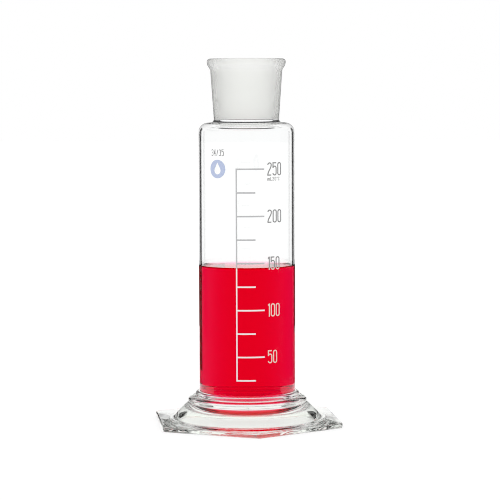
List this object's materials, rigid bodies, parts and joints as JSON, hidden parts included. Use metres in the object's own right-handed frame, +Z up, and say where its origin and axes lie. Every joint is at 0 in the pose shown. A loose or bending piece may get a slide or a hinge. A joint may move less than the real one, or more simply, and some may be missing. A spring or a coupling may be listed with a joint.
{
  "type": "gas washing bottle",
  "caption": "Graduated cylindrical glass wash bottle with a ground taper socket on top and a six-sided pressed foot, part filled with red liquid.",
  "frame": {"origin": "on the bench, under the middle of the six-sided foot, on the tube's axis", "axes": "+Z up the tube's axis, -Y out of the scale's face, +X to the scale's right"},
  "size_m": [0.104, 0.1122, 0.201],
  "materials": {
    "clear_glass": "clear polished borosilicate glass",
    "foot_glass": "clear pressed glass, slightly green at its edges",
    "ground_glass": "clear outside, finely ground milky inside",
    "red_liquid": "clear deep red water solution",
    "white_enamel": "fired-on white enamel, faintly grainy",
    "blue_enamel": "fired-on pale blue enamel"
  },
  "bodies": {
    "root": {"joint_socket": "ground_glass", "body_tube": "clear_glass", "hex_foot": "foot_glass", "red_liquid": "red_liquid", "scale_spine": "white_enamel", "scale_long_lines": "white_enamel", "scale_short_lines": "white_enamel", "numeral_50": "white_enamel", "numeral_100": "white_enamel", "numeral_150": "white_enamel", "numeral_200": "white_enamel", "numeral_250": "white_enamel", "unit_mark": "white_enamel", "size_mark": "white_enamel", "round_mark": "blue_enamel"}
  },
  "joints": []
}
